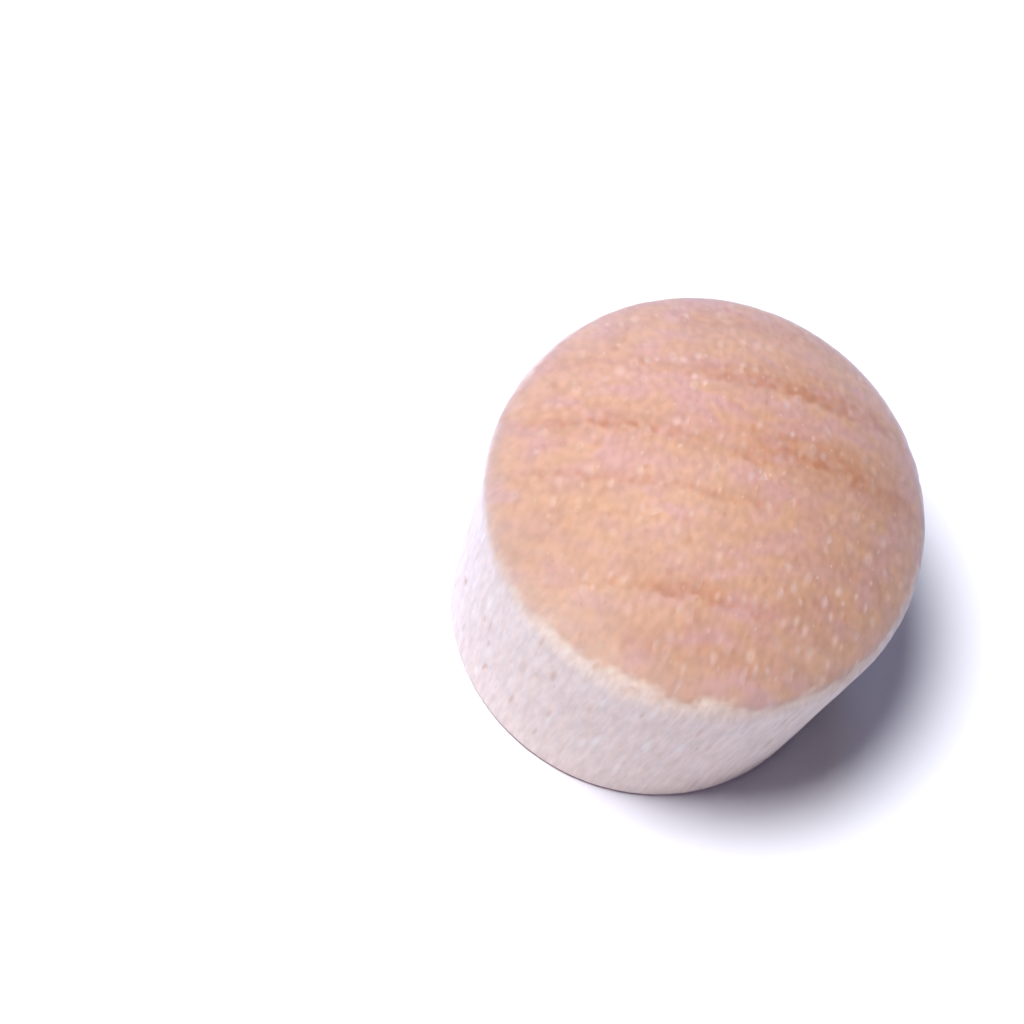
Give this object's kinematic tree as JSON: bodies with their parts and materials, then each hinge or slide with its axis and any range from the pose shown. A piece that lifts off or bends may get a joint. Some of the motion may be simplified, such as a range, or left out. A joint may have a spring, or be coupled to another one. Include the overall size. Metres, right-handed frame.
{
  "type": "wood plug",
  "caption": "Tapered round wood plug with a domed head, pressed into a counterbored hole to hide a sunk screw.",
  "frame": {"origin": "centre of the flat end, on the plane that the plug stands on", "axes": "+Z along the turning axis, from the flat end to the crown; X and Y are any two square directions across it"},
  "size_m": [0.0102, 0.0102, 0.0095],
  "materials": {
    "wood": "turned and sanded, unfinished"
  },
  "bodies": {
    "root": {"plug": "wood"}
  },
  "joints": []
}
